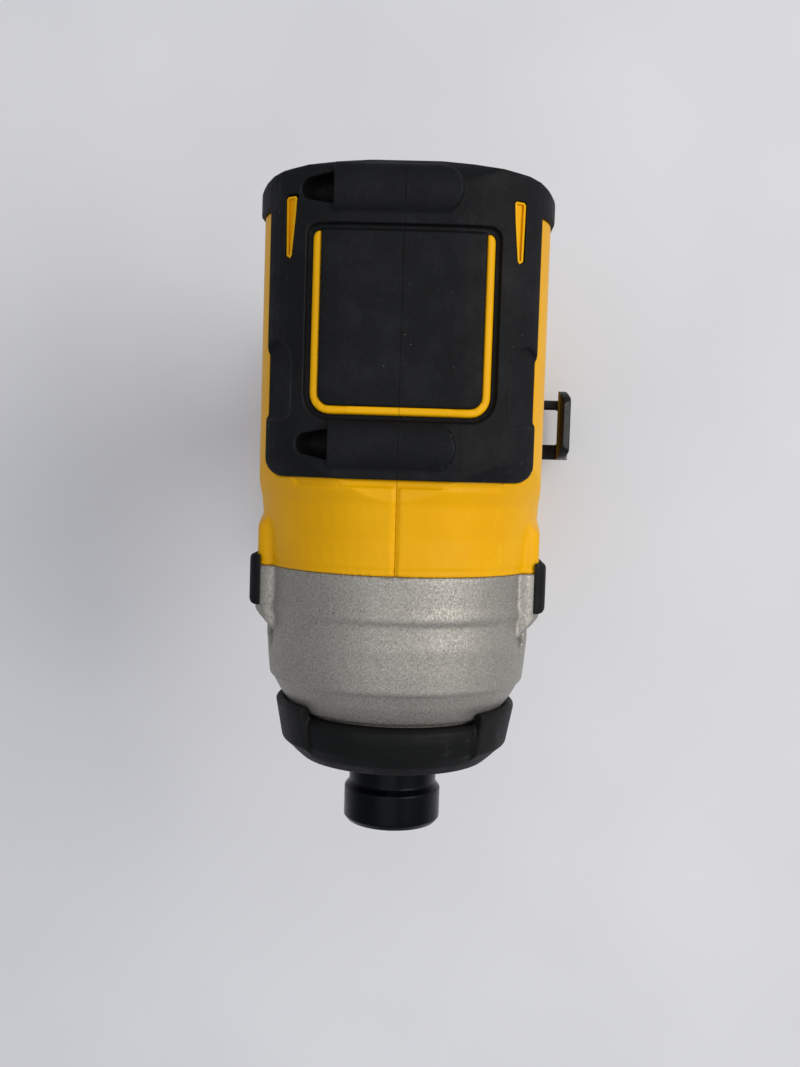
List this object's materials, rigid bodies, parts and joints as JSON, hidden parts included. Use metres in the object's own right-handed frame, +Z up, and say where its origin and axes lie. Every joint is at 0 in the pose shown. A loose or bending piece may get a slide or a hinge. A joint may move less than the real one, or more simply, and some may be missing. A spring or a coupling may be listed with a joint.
{
  "type": "impact driver",
  "caption": "Cordless impact driver, bare tool: yellow clamshell housing with black rubber, cast gear case, hex collet, trigger, slide-in pack foot and a belt hook.",
  "frame": {"origin": "mouth of the bit socket on the spindle axis", "axes": "+X along the spindle out of the nose, +Y to the tool's left, +Z up from the foot to the barrel"},
  "size_m": [0.1408, 0.0807, 0.1697],
  "materials": {
    "housing_yellow": "moulded plastic with a fine grain",
    "overmould": "soft moulded rubber with a fine texture",
    "bumper_rubber": "dense moulded rubber",
    "case_metal": "satin cast metal with a sparkle",
    "sleeve_black": "blackened steel, smooth",
    "steel": "machined",
    "forged": "hardened and blackened",
    "bearing": "ground and polished",
    "bronze": "sintered bush metal",
    "brass": "bright",
    "copper": "enamelled copper wire",
    "core_iron": "stacked sheet iron",
    "magnet": "plain",
    "board": "coated circuit board",
    "dark_plastic": "moulded plastic",
    "trigger_plastic": "moulded plastic with a soft sheen",
    "screw_black": "blackened screw steel",
    "hook_black": "painted strap steel",
    "lens": "clear"
  },
  "bodies": {
    "tool": {"housing_left": "housing_yellow", "housing_right": "housing_yellow", "rear_overmould_left": "overmould", "rear_overmould_right": "overmould", "grip_left": "overmould", "grip_right": "overmould", "housing_screws": "screw_black", "gear_case": "case_metal", "gear_case_screws": "screw_black", "nose_bumper": "bumper_rubber", "side_bumper_left": "bumper_rubber", "side_bumper_right": "bumper_rubber", "light_ring": "dark_plastic", "light_lenses": "lens", "nose_bush": "bronze", "anvil_washer": "steel", "ring_gear": "steel", "gear_cover": "dark_plastic", "spindle_bearing": "bearing", "front_bearing": "bearing", "rear_bearing": "bearing", "stator_core": "core_iron", "stator_windings": "copper", "motor_board": "board", "switch_body": "dark_plastic", "trigger_spring": "steel", "control_module": "board", "terminal_block": "dark_plastic", "terminal_blades": "brass", "belt_hook": "hook_black", "hook_screw": "screw_black", "hook_inserts": "brass"},
    "rotor": {"rotor_shaft": "steel", "rotor_core": "core_iron", "rotor_magnets": "magnet", "cooling_fan": "dark_plastic"},
    "spindle_set": {"spindle": "steel", "planet_pins": "bearing", "cam_balls": "bearing", "hammer_spring": "steel", "spring_washer": "steel"},
    "planet_1": {"planet_gear_1": "steel"},
    "planet_2": {"planet_gear_2": "steel"},
    "planet_3": {"planet_gear_3": "steel"},
    "hammer_set": {"hammer": "forged"},
    "anvil_set": {"anvil": "forged", "detent_balls": "bearing", "sleeve_spring": "steel", "retaining_ring": "steel"},
    "sleeve": {"collet_sleeve": "sleeve_black"},
    "trigger_set": {"trigger": "trigger_plastic"},
    "selector": {"selector_bar": "trigger_plastic"}
  },
  "joints": [
    {"name": "rotor_spin", "type": "hinge", "parent": "tool", "child": "rotor", "pos_m": [-0.11, 0, 0], "axis": [1, 0, 0], "continuous": true},
    {"name": "spindle_spin", "type": "hinge", "parent": "tool", "child": "spindle_set", "pos_m": [-0.078, 0, 0], "axis": [1, 0, 0], "continuous": true},
    {"name": "planet_1_spin", "type": "hinge", "parent": "spindle_set", "child": "planet_1", "pos_m": [-0.078, 0.0108, 0], "axis": [1, 0, 0], "continuous": true},
    {"name": "planet_2_spin", "type": "hinge", "parent": "spindle_set", "child": "planet_2", "pos_m": [-0.078, -0.0054, 0.00935], "axis": [1, 0, 0], "continuous": true},
    {"name": "planet_3_spin", "type": "hinge", "parent": "spindle_set", "child": "planet_3", "pos_m": [-0.078, -0.0054, -0.00935], "axis": [1, 0, 0], "continuous": true},
    {"name": "hammer_slide", "type": "slide", "parent": "spindle_set", "child": "hammer_set", "axis": [1, 0, 0], "range_m": [-0.008, 0], "stiffness_N_per_m": 3000, "springref_m": 0.004, "deforming": ["hammer_spring"]},
    {"name": "anvil_spin", "type": "hinge", "parent": "tool", "child": "anvil_set", "pos_m": [-0.025, 0, 0], "axis": [1, 0, 0], "continuous": true},
    {"name": "sleeve_slide", "type": "slide", "parent": "anvil_set", "child": "sleeve", "axis": [1, 0, 0], "range_m": [0, 0.0035], "stiffness_N_per_m": 600, "springref_m": -0.002, "deforming": ["sleeve_spring"]},
    {"name": "trigger_pull", "type": "slide", "parent": "tool", "child": "trigger_set", "axis": [-1, 0, 0], "range_m": [0, 0.006], "stiffness_N_per_m": 800, "springref_m": -0.003, "deforming": ["trigger_spring"]},
    {"name": "selector_shift", "type": "slide", "parent": "tool", "child": "selector", "axis": [0, 1, 0], "range_m": [-0.003, 0.003]}
  ],
  "couplings": [
    {"joint": "spindle_spin", "follows": "rotor_spin", "ratio": 0.125},
    {"joint": "planet_1_spin", "follows": "rotor_spin", "ratio": -0.29167},
    {"joint": "planet_2_spin", "follows": "rotor_spin", "ratio": -0.29167},
    {"joint": "planet_3_spin", "follows": "rotor_spin", "ratio": -0.29167},
    {"joint": "anvil_spin", "follows": "rotor_spin", "ratio": 0.125}
  ]
}
